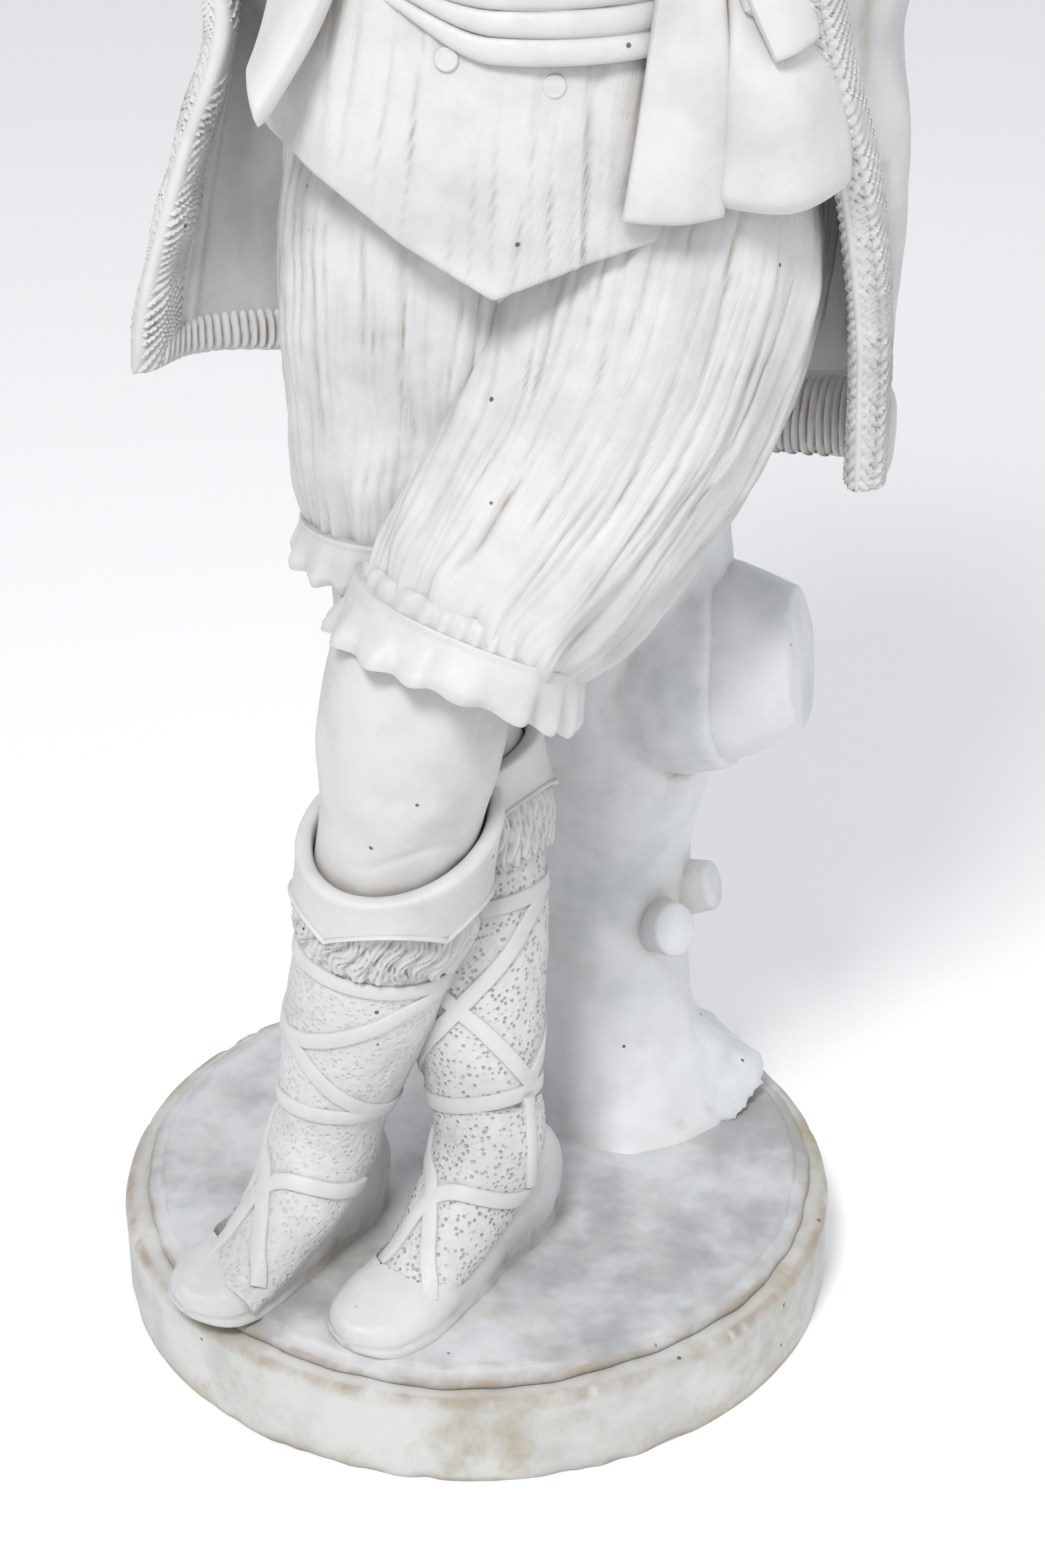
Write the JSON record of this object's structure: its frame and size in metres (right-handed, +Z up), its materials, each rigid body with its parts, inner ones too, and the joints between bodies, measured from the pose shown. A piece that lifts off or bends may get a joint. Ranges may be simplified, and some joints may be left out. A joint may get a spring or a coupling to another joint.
{
  "type": "marble statue",
  "caption": "Standing marble figure of a youth resting against a tree stump, legs crossed, in laced boots and a fringed cape, on a round plinth.",
  "frame": {"origin": "centre of the plinth's underside, on the ground", "axes": "+Z up; the figure faces -Y; +X to a viewer's right, which is the figure's left"},
  "size_m": [0.59, 0.54, 1.5892],
  "materials": {
    "marble": "honed white marble, lightly veined and weathered",
    "plinth_marble": "white marble, stained grey and brown by weather"
  },
  "bodies": {
    "root": {"statue": "marble", "plinth": "plinth_marble"}
  },
  "joints": []
}
